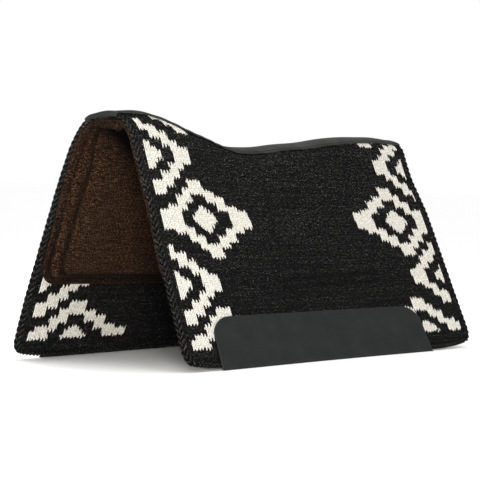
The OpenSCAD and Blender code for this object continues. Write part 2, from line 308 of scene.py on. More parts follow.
# ---- Materials ----
class Shader:
    """One procedural material, laid out over the pieces' flat places in mm."""

    def __init__(self, name, roughness, **constants):
        self.material = bpy.data.materials.new(name)
        self.material.use_nodes = True
        self.tree = self.material.node_tree
        self.surface = self.tree.nodes["Principled BSDF"]
        self.surface.inputs["Roughness"].default_value = roughness
        for socket, value in constants.items():
            self.surface.inputs[socket.replace("_", " ")].default_value = value
        self.place = self.node("ShaderNodeAttribute", attribute_name="flat").outputs["Vector"]
        parts = self.node("ShaderNodeSeparateXYZ")
        self.feed(parts.inputs[0], self.place)
        self.u, self.s, self.t = parts.outputs

    def node(self, kind, **settings):
        made = self.tree.nodes.new(kind)
        for key, value in settings.items():
            setattr(made, key, value)
        return made

    def feed(self, socket, value):
        if isinstance(value, bpy.types.NodeSocket):
            self.tree.links.new(value, socket)
        else:
            socket.default_value = value

    def math(self, operation, *values):
        made = self.node("ShaderNodeMath", operation=operation)
        for socket, value in zip(made.inputs, values):
            self.feed(socket, value)
        return made.outputs[0]

    def total(self, *values):
        made = values[0]
        for value in values[1:]:
            made = self.math("ADD", made, value)
        return made

    def noise(self, scale, detail=2.0, rough=0.5):
        """Noise with this many cycles per mm along u, s and t, about 0.5 on average."""
        made = self.node("ShaderNodeTexNoise")
        stretch = self.node("ShaderNodeVectorMath", operation="MULTIPLY")
        self.feed(stretch.inputs[0], self.place)
        stretch.inputs[1].default_value = scale
        self.feed(made.inputs["Vector"], stretch.outputs[0])
        made.inputs["Scale"].default_value = 1
        made.inputs["Detail"].default_value = detail
        made.inputs["Roughness"].default_value = rough
        return made.outputs["Fac"]

    def chance(self, value):
        """A random number from 0 to 1 for each whole number."""
        made = self.node("ShaderNodeTexWhiteNoise", noise_dimensions="1D")
        self.feed(made.inputs["W"], value)
        return made.outputs["Value"]

    def remap(self, value, low, high, to_low=0.0, to_high=1.0):
        made = self.node("ShaderNodeMapRange")
        for socket, x in zip(made.inputs, (value, low, high, to_low, to_high)):
            self.feed(socket, x)
        return made.outputs[0]

    def mix(self, share, a, b):
        made = self.node("ShaderNodeMix", data_type="RGBA")
        for socket, value in zip((made.inputs[0], made.inputs[6], made.inputs[7]), (share, a, b)):
            self.feed(socket, value)
        return made.outputs[2]

    def steps(self, value, low, high, rows):
        """Two numbers up to 100 that step with a value from low to high: rows hold (from, first, second)."""
        ramp = self.node("ShaderNodeValToRGB")
        ramp.color_ramp.interpolation = "CONSTANT"
        stops = ramp.color_ramp.elements
        stops.remove(stops[1])
        for k, (start, first, second) in enumerate(rows):
            place = (start - low) / (high - low)
            stop = stops[0] if k == 0 else stops.new(place)
            stop.position = place
            stop.color = (first / 100, second / 100, 0, 1)
        self.feed(ramp.inputs[0], self.remap(value, low, high))
        parts = self.node("ShaderNodeSeparateColor")
        self.feed(parts.inputs[0], ramp.outputs[0])
        return [self.math("MULTIPLY", channel, 100.0) for channel in parts.outputs[:2]]

    def finish(self, colour, height, deep, strength=1.0):
        """Sets the colour, and a bump whose height runs from 0 to 1 over a depth in mm."""
        self.feed(self.surface.inputs["Base Color"], colour)
        bump = self.node("ShaderNodeBump")
        bump.inputs["Strength"].default_value = strength
        bump.inputs["Distance"].default_value = deep * MM
        self.feed(bump.inputs["Height"], height)
        self.feed(self.surface.inputs["Normal"], bump.outputs[0])
        return self.material


def grey(level, tint=(1, 1, 1)):
    return (level * tint[0], level * tint[1], level * tint[2], 1)


# The blanket's motifs: stepped rings round a stepped block, on two lattices that alternate up the drop.
# centres: (from this height, middle at the front end, middle at the rear end), as the weaver placed each row.
# ring: (from this distance towards the middle of the pad, inner edge, outer edge), up and down from the row.
# block: (from this distance, half height).
ROW_SPACING = 183.0
MOTIF_SPAN = 140.0
COLUMN_MOTIF = {
    "row": 31.0,
    "centres": [(0, 127, 692), (122.5, 137, 703), (305.5, 132, 680)],
    "ring": [
        (-140, 100, 0), (-119, 0, 14), (-91, 0, 20), (-61, 13, 33), (-40, 24, 44), (-19, 36, 56),
        (20, 24, 41), (47, 13, 33), (72, 0, 19), (100, 0, 13), (129, 100, 0),
    ],
    "block": [
        (-140, 0, 0), (-32, 4, 0), (-26, 8, 0), (-20, 12, 0), (-13, 16, 0), (-6, 19, 0),
        (6, 16, 0), (13, 12, 0), (20, 8, 0), (26, 4, 0), (32, 0, 0),
    ],
}
EDGE_MOTIF = {
    "row": 122.5,
    "centres": [(0, 19, 806), (214, 24, 800)],
    "ring": [
        (-140, 36, 56), (20, 24, 44), (46, 13, 33), (66, 0, 20), (86, 0, 12), (111, 100, 0),
    ],
    "block": [(-140, 20, 0), (6, 18, 0), (14, 11, 0), (24, 6, 0), (37, 0, 0)],
}
MOTIF_LEAN = 0.16        # how far the motifs lean forward for each mm up
PATTERN_SPAN = (18.5, 791.0)
PATTERN_LOW = 32.0


def motif(w, u, s, shape):
    """1 inside one lattice of motifs, 0 outside."""
    half = ROW_SPACING / 2
    up = w.math("WRAP", w.math("SUBTRACT", s, shape["row"]), half, -half)
    leaned = w.math("MULTIPLY_ADD", up, MOTIF_LEAN, u)
    front, rear = w.steps(s, 0.0, 460.0, [(at, a / 10, b / 10) for at, a, b in shape["centres"]])
    from_front = w.math("MULTIPLY_ADD", front, -10.0, leaned)
    from_rear = w.math("SUBTRACT", w.math("MULTIPLY", rear, 10.0), leaned)
    inward = w.math("MINIMUM", from_front, from_rear)
    high = w.math("ABSOLUTE", up)
    inner, outer = w.steps(inward, -MOTIF_SPAN, MOTIF_SPAN, shape["ring"])
    ring = w.math("MULTIPLY", w.math("GREATER_THAN", high, inner), w.math("LESS_THAN", high, outer))
    tall = w.steps(inward, -MOTIF_SPAN, MOTIF_SPAN, shape["block"])[0]
    return w.math("MAXIMUM", ring, w.math("LESS_THAN", high, tall))


# Faint creases where the blanket was folded in store, dented into it and darkened with painted shade: (place,
# lean).
# The level ones stay within the first span along u, the upright one within the second up s.
LEVEL_CREASES = [(108.0, 1 / 60), (118.0, 1 / 45)]
UPRIGHT_CREASE = (308.0, 1 / 9)
CREASE_SPANS = [(250, 640), (120, 290)]


def painted_crease_shade(w):
    """How much painted shade darkens the wool along the fold creases, from 0 to 1."""
    lines = [(w.s, w.u, *CREASE_SPANS[0], *crease) for crease in LEVEL_CREASES]
    lines.append((w.u, w.s, *CREASE_SPANS[1], *UPRIGHT_CREASE))
    marks = []
    for across, run, start, end, at, lean in lines:
        away = w.math("ABSOLUTE", w.math("SUBTRACT", w.math("MULTIPLY_ADD", run, -lean, across), at))
        fade = w.math("MULTIPLY", w.remap(run, start, start + 60), w.remap(run, end, end - 60))
        marks.append(w.math("MULTIPLY", w.remap(away, 8.0, 1.5), fade))
    return w.math("MAXIMUM", w.math("MAXIMUM", marks[0], marks[1]), marks[2])


def wool_weave(w):
    """(height of the weave's bumps, fuzz) of a weft-faced weave, both from 0 to 1."""
    rib = w.math("FLOOR", w.math("DIVIDE", w.u, RIB))
    odd = w.math("MODULO", rib, 2.0)
    crown = w.math("ABSOLUTE", w.math("SINE", w.math("MULTIPLY", w.u, math.pi / RIB)))
    row = w.math("MULTIPLY_ADD", w.noise((0.12, 0.12, 0.12)), 1.6, w.math("DIVIDE", w.s, WEFT_ROW))
    angle = w.math("MULTIPLY", w.math("MULTIPLY_ADD", odd, 0.25, row), 2 * math.pi)
    rows = w.math("MULTIPLY_ADD", w.math("SINE", angle), 0.5, 0.5)
    height = w.math("MULTIPLY", w.math("MULTIPLY_ADD", rows, 0.6, 0.4), w.math("POWER", crown, 0.6))
    return height, w.noise((0.7, 1.5, 1.5), detail=4, rough=0.7)


def black_wool(w, long, pale):
    """Black wool with pale fibres that catch the light, this many times longer along u than across."""
    tufts = w.remap(w.noise((0.36 / long, 0.36, 0.36), detail=4, rough=0.85), 0.45, 0.58)
    colour = w.mix(tufts, grey(0.0006), grey(0.0085, (1.02, 1, 0.98)))
    speck = w.remap(w.noise((0.52 / long, 0.52, 0.52), detail=3, rough=0.9), 0.565, 0.63)
    return w.mix(w.math("MULTIPLY", speck, pale), colour, grey(0.11, (1, 1, 0.97)))


def woven_wool():
    w = Shader("woven_wool", 1.0, Specular_IOR_Level=0.04)
    rib = w.math("FLOOR", w.math("DIVIDE", w.u, RIB))
    ripple = w.math("SUBTRACT", w.noise((0.45, 0.7, 0.7), detail=3), 0.5)
    teeth = w.math("SUBTRACT", w.math("PINGPONG", w.u, RIB), RIB / 2)
    jitter = w.math("MULTIPLY", w.math("SUBTRACT", w.chance(rib), 0.5), 3.4)
    s = w.total(w.s, w.math("MULTIPLY", teeth, 1.1), jitter, w.math("MULTIPLY", ripple, 4.5))
    middle_of_rib = w.math("MULTIPLY", w.math("ADD", rib, 0.5), RIB)
    u = w.math("MULTIPLY_ADD", ripple, 3.0, middle_of_rib)
    white = w.math("MAXIMUM", motif(w, u, s, COLUMN_MOTIF), motif(w, u, s, EDGE_MOTIF))
    limits = [
        ("GREATER_THAN", u, PATTERN_SPAN[0]), ("LESS_THAN", u, PATTERN_SPAN[1]),
        ("GREATER_THAN", s, PATTERN_LOW),
    ]
    for operation, value, limit in limits:
        white = w.math("MULTIPLY", white, w.math(operation, value, limit))
    weave, fuzz = wool_weave(w)
    tufts = w.remap(w.noise((0.3, 0.4, 0.4), detail=4, rough=0.7), 0.36, 0.62)
    white_wool = w.mix(tufts, (0.37, 0.355, 0.32, 1), (0.68, 0.66, 0.605, 1))
    # Painted light: the black gets more pale specks higher up the drop, so it is lighter toward the crown
    # where the light from above falls.
    black = black_wool(w, 2.4, w.remap(w.s, 90.0, 340.0, 0.5, 1.0))
    rows = w.remap(w.noise((0.004, 0.3, 0.05), detail=2, rough=0.6), 0.42, 0.58, 0.55, 0.0)
    # Dark weft streaks, and painted shade along the fold creases.
    black = w.mix(w.math("MAXIMUM", rows, w.math("MULTIPLY", painted_crease_shade(w), 0.7)), black, grey(0.0012))
    colour = w.mix(white, black, white_wool)
    # Painted shade: the grooves between the ribs and the weft rows are darkened toward near black.
    colour = w.mix(w.remap(weave, 0.0, 0.6, 0.6, 0.0), colour, grey(0.003))
    height = w.total(w.math("MULTIPLY", weave, 0.7), w.math("MULTIPLY", fuzz, 0.6))
    return w.finish(colour, height, 0.9)


def edge_wool():
    w = Shader("edge_cord", 1.0, Specular_IOR_Level=0.04)
    fuzz = w.noise((0.8, 1.6, 1.6), detail=4, rough=0.7)
    # Painted shade where the strands face into the cord, and a painted highlight on their crowns where they
    # face out.
    painted_strand_shade = w.remap(w.t, -0.4, 0.85, 0.95, 0.0)
    colour = w.mix(w.remap(w.t, 0.6, 1.0, 0.0, 0.16), black_wool(w, 1.2, 0.9), grey(0.075, (1, 0.99, 0.95)))
    return w.finish(w.mix(painted_strand_shade, colour, grey(0.0005)), fuzz, 0.8)


def webbing():
    w = Shader("webbing", 0.8)
    across = w.math("SINE", w.math("MULTIPLY", w.u, 2 * math.pi / 1.6))
    down = w.math("SINE", w.math("MULTIPLY", w.s, 2 * math.pi / 1.2))
    weave = w.math("MULTIPLY_ADD", w.math("MULTIPLY", across, down), 0.5, 0.5)
    colour = w.mix(weave, grey(0.008), grey(0.02))
    return w.finish(colour, weave, 0.3)


def leather(name, dark, light, roughness):
    w = Shader(name, roughness, Specular_IOR_Level=0.18)
    mottle = w.remap(w.noise((0.018, 0.03, 0.03), detail=4, rough=0.6), 0.35, 0.68)
    grain = w.noise((0.9, 0.9, 0.9), detail=3, rough=0.6)
    pores = w.remap(w.noise((2.2, 2.2, 2.2), detail=1), 0.35, 0.6)
    colour = w.mix(mottle, dark, light)
    colour = w.mix(w.remap(grain, 0.3, 0.55, 0.3, 0.0), colour, grey(0.004))
    height = w.total(w.math("MULTIPLY", grain, 0.7), w.math("MULTIPLY", pores, 0.3))
    w.feed(w.surface.inputs["Roughness"], w.remap(mottle, 0.0, 1.0, roughness + 0.06, roughness - 0.05))
    return w.finish(colour, height, 0.25, 0.6)


def felt(name, dark, light, reddish, pale, flange=0.0, valley=0.0, channel=0.0):
    """Mottled felt with pale fibres.

    It can be darkened with painted shade, each by a share: on the flange outside the cushions and along the
    crease at their outline, in the valley round the contact panels, and in the spine channel under the crown.
    """
    w = Shader(name, 1.0, Sheen_Weight=0.012, Sheen_Roughness=0.6, Specular_IOR_Level=0.02)
    clumps = w.remap(w.noise((0.3, 0.5, 0.5), detail=3, rough=0.85), 0.45, 0.56)
    broad = w.remap(w.noise((0.02, 0.02, 0.02), detail=2), 0.35, 0.65)
    fibres = w.noise((1.0, 1.0, 1.0), detail=4, rough=0.75)
    colour = w.mix(clumps, dark, light)
    colour = w.mix(w.math("MULTIPLY", broad, 0.3), colour, reddish)
    colour = w.mix(w.remap(fibres, 0.3, 0.5, 0.55, 0.0), colour, (0.004, 0.002, 0.001, 1))
    specks = w.remap(w.noise((0.32, 0.5, 0.5), detail=3, rough=0.9), 0.555, 0.62)
    colour = w.mix(w.math("MULTIPLY", specks, 0.85), colour, pale)
    # Near black, mixed in below as painted shade.
    black = (0.001, 0.0005, 0.0003, 1)
    low_on_drop = w.remap(w.s, 150.0, 225.0, 1.0, 0.0)
    # Painted shade along the crease at the cushions' outline and on the flange outside them, weaker toward
    # the top of the drop.
    if flange:
        away = outside_outline(w, 1)
        line = w.math("MULTIPLY", w.remap(away, 3.2, 1.6), w.remap(away, -2.0, 0.0))
        outside = w.math("MULTIPLY", w.remap(away, 0.0, 3.0), 0.55)
        share = w.math("MULTIPLY", w.math("MAXIMUM", line, outside), flange)
        colour = w.mix(w.math("MULTIPLY", share, w.remap(low_on_drop, 0.0, 1.0, 0.6, 1.0)), colour, black)
    # Painted shade in the valley round the contact panels.
    if valley:
        away = outside_outline(w, 2)
        painted_valley_shade = w.math("MULTIPLY", w.remap(away, 13.0, 2.0), w.remap(away, -4.0, 0.0))
        colour = w.mix(w.math("MULTIPLY", painted_valley_shade, valley), colour, black)
    # Painted shade in the spine channel under the crown: weaker at the very ends, and reaching further down
    # the sides the deeper it lies behind them, like the shadow of the end roll.
    if channel:
        end = w.math("MINIMUM", w.u, w.math("SUBTRACT", PAD_LENGTH, w.u))
        over = w.node("ShaderNodeAttribute", attribute_name="crown").outputs["Fac"]
        off_ridge = w.math("ABSOLUTE", over)
        beside = w.math("MAXIMUM", w.math("SUBTRACT", off_ridge, 20.0), 0.0)
        behind = w.math("MULTIPLY_ADD", beside, 1.3, end)
        reach = w.math("MULTIPLY_ADD", w.math("MINIMUM", end, 110.0), -0.52, off_ridge)
        share = w.math("MULTIPLY", w.remap(reach, 38.0, 12.0), w.remap(behind, 18.0, 26.0, 0.3, channel))
        colour = w.mix(share, colour, black)
    height = w.total(w.math("MULTIPLY", clumps, 0.6), w.math("MULTIPLY", fibres, 0.6))
    return w.finish(colour, height, 1.0)


def outside_outline(w, level):
    """Distance in mm outside a liner layer's outline, with its lower corners rounded."""
    inset, low, corner_r = LINER_INSETS[level], LINER_LOWS[level], LINER_CORNERS[level]
    from_ends = w.math("MINIMUM", w.math("SUBTRACT", w.u, inset), w.math("SUBTRACT", PAD_LENGTH - inset, w.u))
    parts = []
    for distance in (from_ends, w.math("SUBTRACT", w.s, low)):
        short = w.math("MAXIMUM", w.math("SUBTRACT", corner_r, distance), 0.0)
        parts.append(w.math("MULTIPLY", short, short))
    return w.math("SUBTRACT", w.math("SQRT", w.total(*parts)), corner_r)


def thread(name, dark, light):
    w = Shader(name, 0.9, Specular_IOR_Level=0.1)
    twist = w.total(w.math("MULTIPLY", w.u, 1.2), w.math("MULTIPLY", w.s, 1.2))
    ply = w.math("MULTIPLY_ADD", w.math("SINE", w.math("MULTIPLY", twist, 2 * math.pi)), 0.5, 0.5)
    return w.finish(w.mix(ply, dark, light), ply, 0.2)


BROWNS = [  # the felt's dark, light and reddish wool, and its pale fibres
    (0.001, 0.0004, 0.0002, 1), (0.034, 0.0145, 0.006, 1), (0.023, 0.007, 0.0027, 1),
    (0.15, 0.088, 0.045, 1),
]
MATERIALS = {
    "woven_wool": woven_wool(),
    "edge_cord": edge_wool(),
    "webbing": webbing(),
    "strip_leather": leather("strip_leather", (0.008, 0.0097, 0.0077, 1), (0.018, 0.0215, 0.0173, 1), 0.5),
    "wear_leather": leather("wear_leather", (0.0062, 0.0079, 0.0075, 1), (0.0088, 0.0108, 0.0103, 1), 0.62),
    "thread": thread("thread", grey(0.014), grey(0.035)),
    # The felts' flange, valley and channel shares are painted shade.
    "felt": felt("felt", *BROWNS, flange=0.9, valley=0.7, channel=0.97),
    "contact_felt": felt("contact_felt", *BROWNS, valley=0.7, channel=0.97),
    "liner_thread": thread("liner_thread", (0.003, 0.0012, 0.0005, 1), (0.014, 0.006, 0.0025, 1)),
}


def finished(pile, name, slot, *nodes):
    """The pile as a piece with its material and slot, standing for these CAD nodes."""
    obj = pile.piece(name, MATERIALS[slot])
    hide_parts(*nodes)
    return obj


# ---- Woven blanket ----
def storage_creases(u, s):
    """Faint fold marks across the middle of the blanket, in mm deep."""
    level = sum(np.exp(-((s - at - u * lean) / 2.5) ** 2) for at, lean in LEVEL_CREASES)
    at, lean = UPRIGHT_CREASE
    upright = np.exp(-((u - at - s * lean) / 3.0) ** 2)
    level = level * smooth(end_distance(u, *CREASE_SPANS[0]) / 90)
    upright = upright * smooth(end_distance(s, *CREASE_SPANS[1]) / 60)
    return CREASE_DEEP * (level + upright)


def blanket_half(side_name):
    side, edge = SIDES[side_name], CORD_IN + 1.5
    us = np.arange(edge, PAD_LENGTH - edge, RIB / 4)
    low = hem_s(us) + edge + corner_inset(end_distance(us, edge, PAD_LENGTH - edge), BLANKET_CORNER_R - edge)
    flank, drop = section(us)[4:]
    up, over = np.linspace(0, 1, 36)[None], np.linspace(0, 1, 15)[None, 1:]
    low, flank, top = low[:, None], flank[:, None], (drop - BLANKET_GAP)[:, None]
    s = np.concatenate([low + (flank - low) * up, flank + (top - flank) * over], 1)
    u = np.repeat(us[:, None], s.shape[1], 1)
    uneven = 1 + 0.25 * np.sin(s / 31 + np.floor(u / RIB) * 2.4)
    groove = RIB_DEEP / 2 * (1 + np.cos(2 * math.pi * u / RIB)) * uneven + storage_creases(u, s)
    pile = Pile()
    slab(pile, side, np.stack([u, s, groove], -1), np.stack([u, s, BLANKET_THICK - groove], -1))
    return finished(pile, f"woven_blanket_{side_name}", "woven_wool", f"blanket_{side_name}")


def twined(pile, side, route):
    """Two cords side by side across the blanket's thickness, each of two strands, twisted opposite ways."""
    line, run, across = resampled(route, 1.7)
    end = np.minimum(run, run[-1] - run)
    taper = 0.35 + 0.65 * smooth(end / 4)
    for depth, hand in ((2.1, 1), (6.9, -1)):
        for strand in (0, 1):
            turn = hand * 2 * math.pi * run / STRAND_PITCH + strand * math.pi + hand * 0.8
            turn = turn + 0.25 * np.sin(run / 37 + depth)
            place = line + (STRAND_TURN_R * np.sin(turn))[:, None] * across
            t = depth + STRAND_TURN_R * np.cos(turn)
            centres = panel(side, place[:, 0], place[:, 1], t)
            outs = panel(side, place[:, 0], place[:, 1], t - 1) - centres
            plump = 1 + 0.07 * np.sin(run / 5.3 + depth + 3 * strand)
            spots = np.stack([run, np.full(len(run), 20.0 * strand), t], -1)
            axis = panel(side, line[:, 0], line[:, 1], depth)
            tube(pile, centres, outs, STRAND_R * MM * taper * plump, spots, axis=axis)


def edge_cord(side_name, end_name):
    turn_r = BLANKET_CORNER_R - CORD_IN
    u_of = (lambda d: d) if end_name == "front" else (lambda d: PAD_LENGTH - d)
    drop = float(section(u_of(CORD_IN))[5])
    base = float(hem_s(u_of(CORD_IN))) + CORD_IN + turn_r
    route = [(u_of(CORD_IN), s) for s in np.linspace(drop - STRIP_HALF + 3, base, 60)]
    for a in np.linspace(0, math.pi / 2, 12)[1:]:
        d = CORD_IN + turn_r * (1 - math.cos(a))
        route.append((u_of(d), float(hem_s(u_of(d))) + CORD_IN + turn_r * (1 - math.sin(a))))
    pile = Pile()
    twined(pile, SIDES[side_name], route)
    node = f"{end_name}_cord_{side_name}"
    return finished(pile, f"twined_{node}", "edge_cord", node)


def bottom_hem(side_name):
    us = np.linspace(BLANKET_CORNER_R - 0.5, PAD_LENGTH - BLANKET_CORNER_R + 0.5, 90)
    pile = Pile()
    twined(pile, SIDES[side_name], np.stack([us, hem_s(us) + CORD_IN], -1))
    return finished(pile, f"twined_hem_{side_name}", "edge_cord", f"bottom_hem_{side_name}")


# ---- Spine ----
def drift(u):
    """How far the spine strip and its webbing lie off centre at the front, in mm towards the off side."""
    return 5.0 * np.exp(-(u / 90) ** 2)


def band(profile_out, profile_in, half, steps, lift):
    """Slab over the ridge line from (u, t) profiles, with lift(u, over) in mm added to both faces."""
    pile, overs = Pile(), half * np.sin(np.linspace(-math.pi / 2, math.pi / 2, steps))
    faces = []
    for profile in (profile_out, profile_in):
        u = np.repeat(profile[:, :1], steps, 1)
        over = np.repeat(overs[None], len(profile), 0)
        over = over * (1 + 0.018 * np.sin(u / 19 + 1.3 * np.sign(over)) + 0.012 * np.sin(u / 7.7))
        over = over + drift(u) + 1.5 * front_corner(u, over)
        t = profile[:, 1:] - lift(u, over)
        faces.append(np.stack([u, section(u)[5] - over, t], -1))
    outer, inner = faces
    rim = 1 - 0.75 * smooth((np.abs(overs) - half + 1.4) / 1.4)[None]
    middle = (outer[..., 2] + inner[..., 2]) / 2
    outer[..., 2] = middle + (outer[..., 2] - middle) * rim
    inner[..., 2] = middle + (inner[..., 2] - middle) * rim
    slab(pile, OFF, outer, inner)
    return pile


def front_corner(u, over):
    """1 at the spine strip's front corner on the off side, which stands off its bed, and 0 away from it."""
    return smooth((over - 13) / 13) * np.exp(-(u / 10) ** 2)


def pucker(u, over):
    """How far the spine strip stands up from its bed, in mm: its edges lift between the stitches."""
    near_edge = smooth((np.abs(over) - 12) / 15)
    waves = 0.5 + 0.5 * np.sin(u / 5.1 + 2 * np.sin(u / 37) + np.sign(over))
    crown = 0.9 * np.sin(u / 31) * np.sin(u / 83 + 1) * (1 - near_edge)
    crown = crown * smooth(end_distance(u, 20, 793) / 60)
    return 0.6 * waves * near_edge + crown + 1.2 * front_corner(u, over)


def spine_strip():
    """The strip, folded down over both ends, by (distance from the end, depth) of its two faces there."""
    ends_out = [(0.2, 6.8), (0.0, 5.6), (0.1, 4.2), (0.9, 3.5), (0.1, 2.8), (0.0, 1.6), (0.3, 0.3),
                (0.9, -0.9), (1.9, -1.8), (3.6, -2.3)]
    ends_in = [(2.0, 6.8), (2.0, 5.8), (2.0, 4.8), (2.1, 4.1), (2.1, 3.4), (2.1, 2.6), (2.2, 1.5),
               (2.5, 0.6), (3.1, 0.0), (4.2, -0.3)]
    us = np.linspace(9, PAD_LENGTH - 9, 330)
    profiles = []
    for ends, t in ((ends_out, STRIP_FACE), (ends_in, -0.3)):
        front = np.array(ends)
        rear = front[::-1] * (-1, 1) + (PAD_LENGTH, 0)
        profiles.append(np.concatenate([front, np.stack([us, np.full(len(us), t)], -1), rear]))
    pile = band(profiles[0], profiles[1], STRIP_HALF, 27, pucker)
    return finished(pile, "leather_spine_strip", "strip_leather", "spine_strip")


def spine_webbing():
    us = np.linspace(10, PAD_LENGTH - 10, 260)
    profiles = [np.stack([us, np.full(len(us), t)], -1) for t in (0.7, 8.2)]
    pile = band(profiles[0], profiles[1], WEBBING_HALF, 13, lambda u, over: 0 * u)
    return finished(pile, "webbing_core", "webbing", "spine_webbing")


def felt_lead(over):
    """How far the felt comes forward of its own edge at the top of the drop, in mm, on the off side only."""
    return LINER_LEAD * smooth((over + 20) / 30)


def felt_ridge():
    """Felt arch along the spine channel, with the liner turned under in a lumpy roll at each end."""
    half, u0 = FELT_GAP + 1.5, LINER_INSETS[0]
    d = spread(0, PAD_LENGTH - 2 * u0, 36, 6)
    d, over = np.meshgrid(d, np.linspace(-half, half, 17), indexing="ij")
    end = end_distance(d, 0, PAD_LENGTH - 2 * u0)
    u = u0 + d + felt_lead(over) * np.exp(-(end / 12) ** 2) * np.sign(d - PAD_LENGTH / 2)
    thin = 0.3 + 0.7 * rounded_rim(np.minimum(end, half - np.abs(over)), 3.0)
    s = section(u)[5] - over
    pile = Pile()
    under = FELT_IN - 0.2 + 0 * u
    slab(pile, OFF, np.stack([u, s, under - 5.2 * thin], -1), np.stack([u, s, under], -1))
    for heading in (1, -1):
        d, over = np.meshgrid(np.linspace(0, ROLL_WIDE, 15), np.linspace(*ROLL_SPAN, 41), indexing="ij")
        d = d + u0 - felt_lead(over)
        u = d if heading == 1 else PAD_LENGTH - d
        across = np.sqrt(1 - np.clip(np.abs(2 * (d - d[0]) / ROLL_WIDE - 0.9), 0, 1) ** 2)
        ends = smooth(np.minimum(over - ROLL_SPAN[0], ROLL_SPAN[1] - over) / 14)
        lumps = np.sin(over / 6.3 + 1.9) * np.sin(u / 8 + over / 11) + 0.6 * np.sin(over / 3.4 - u / 13)
        thick = 0.4 + (8.0 - over / 8 + 1.2 * lumps) * across * ends
        s = section(u)[5] - over
        bed = FELT_IN - 0.5 + 0 * u
        slab(pile, OFF, np.stack([u, s, bed], -1), np.stack([u, s, bed + thick], -1))
    return finished(pile, "felt_arch", "felt", "felt_ridge")


# ---- Stitches ----
def stitches(pile, side, route, t, pitch, radius, sink):
    """Separate stitches along a route of (u, s) places, each dipping into the surface at its ends."""
    line = resampled(route, pitch)[0]
    reach = np.array([-0.5, -0.42, -0.2, 0.2, 0.42, 0.5])
    girth = np.array([0.4, 0.8, 1.0, 1.0, 0.8, 0.4]) * radius * MM
    dip = np.array([1.0, 0.55, 0.0, 0.0, 0.55, 1.0]) * sink
    for k in range(len(line) - 1):
        a, b = line[k], line[k + 1]
        middle, step = (a + b) / 2, (b - a) * 0.74
        spot = middle + reach[:, None] * step
        centres = panel(side, spot[:, 0], spot[:, 1], t + dip)
        outs = panel(side, spot[:, 0], spot[:, 1], t + dip - 1) - centres
        tube(pile, centres, outs, girth, np.column_stack([spot, t + dip]), sides=6)


def spine_stitching():
    pile = Pile()
    us = np.linspace(STRIP_STITCH_IN, PAD_LENGTH - STRIP_STITCH_IN, 200)
    over = STRIP_HALF - STRIP_STITCH_IN
    for row in (-over, over):
        lift = pucker(us, row * np.ones_like(us))
        line = resampled(np.stack([us, section(us)[5] - row - drift(us)], -1), 5.0)[0]
        depth = STRIP_FACE - np.interp(line[:, 0], us, lift)
        for k in range(len(line) - 1):
            stitches(pile, OFF, line[k:k + 2], (depth[k] + depth[k + 1]) / 2 - 0.15, 9.0, 0.55, 0.7)
    return finished(pile, "strip_stitches", "thread", "spine_stitching")


def slanted(u, s):
    """Place along the wear leather once its rear end slants forward."""
    near_end = smooth(1 - (PAD_LENGTH - LEATHER_REAR - u) / 160)
    return u - LEATHER_SLANT * near_end * np.clip(s / LEATHER_HIGH, 0, 1)


def leather_top(u, inside):
    """Height of the top edge of the wear leather, a given distance inside its outline."""
    long, tall = (r - inside for r in LEATHER_CORNER)
    d = end_distance(u, LEATHER_FRONT + inside, PAD_LENGTH - LEATHER_REAR - inside)
    return LEATHER_HIGH - inside - corner_inset(d * tall / long, tall)


def leather_stitching(side_name):
    u0, u1 = LEATHER_FRONT + LEATHER_STITCH_IN, PAD_LENGTH - LEATHER_REAR - LEATHER_STITCH_IN
    us = spread(u0, u1, LEATHER_CORNER[0] - LEATHER_STITCH_IN, 20)
    top = np.stack([us, leather_top(us, LEATHER_STITCH_IN)], -1)
    route = np.array([(u0, 3), *top, (u1, 3)])
    route[:, 0] = slanted(route[:, 0], route[:, 1])
    pile = Pile()
    stitches(pile, SIDES[side_name], route, -3.45, 4.6, 0.5, 0.6)
    node = f"leather_stitching_{side_name}"
    return finished(pile, f"wear_stitches_{side_name}", "thread", node)


def liner_stitching(side_name):
    inside = 4.5
    u0, u1 = LINER_INSETS[0] + inside, PAD_LENGTH - LINER_INSETS[0] - inside
    r = LINER_CORNERS[0] - inside
    us = spread(u0, u1, r, 20)
    low = LINER_LOWS[0] + inside + corner_inset(end_distance(us, u0, u1), r)
    pile = Pile()
    route = [(u0, 200), *np.stack([us, low], -1), (u1, 200)]
    stitches(pile, SIDES[side_name], route, FELT_IN - 0.2, 4.4, 0.55, 0.7)
    node = f"liner_stitching_{side_name}"
    return finished(pile, f"flange_stitches_{side_name}", "liner_thread", node)


